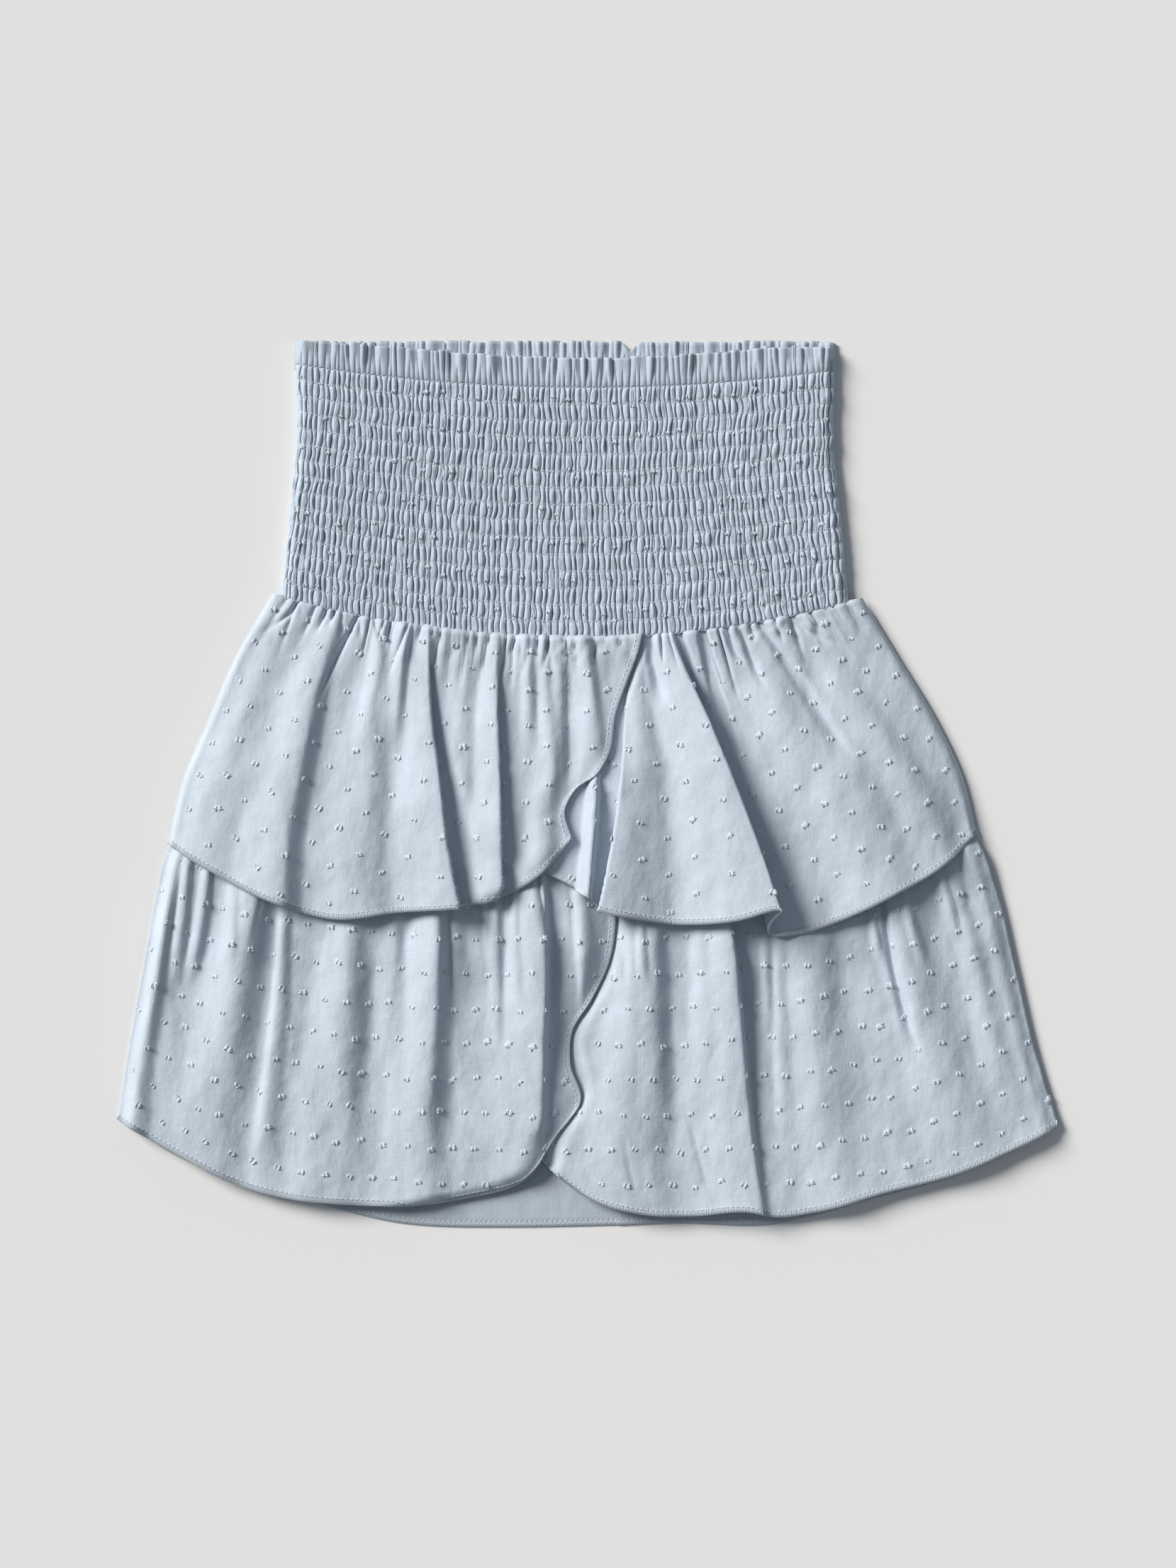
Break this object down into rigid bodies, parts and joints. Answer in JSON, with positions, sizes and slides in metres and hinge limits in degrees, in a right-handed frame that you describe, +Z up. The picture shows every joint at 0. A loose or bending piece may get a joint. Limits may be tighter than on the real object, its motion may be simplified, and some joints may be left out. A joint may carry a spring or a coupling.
{
  "type": "mini skirt",
  "caption": "Light blue mini skirt laid flat, with a wide smocked waistband and two wrapped, gathered ruffle tiers of dotted cotton",
  "frame": {"origin": "on the surface under the middle of the laid-out skirt's outline", "axes": "+X to the right of the front as it lies, along the hem; +Y towards the waist; +Z up, out of the front"},
  "size_m": [0.4244, 0.4, 0.0275],
  "materials": {
    "smocked_cotton": "light blue cotton, shirred with elastic thread, matt",
    "dotted_cotton": "light blue woven cotton with clipped dots, matt",
    "plain_cotton": "light blue woven cotton, plain, matt"
  },
  "bodies": {
    "root": {"waistband_front": "smocked_cotton", "waistband_back": "smocked_cotton", "yoke_front": "plain_cotton", "yoke_back": "plain_cotton", "upper_tier_front_left": "dotted_cotton", "upper_tier_front_right": "dotted_cotton", "upper_tier_back": "dotted_cotton", "lower_tier_front_left": "dotted_cotton", "lower_tier_front_right": "dotted_cotton", "lower_tier_back": "dotted_cotton"}
  },
  "joints": []
}
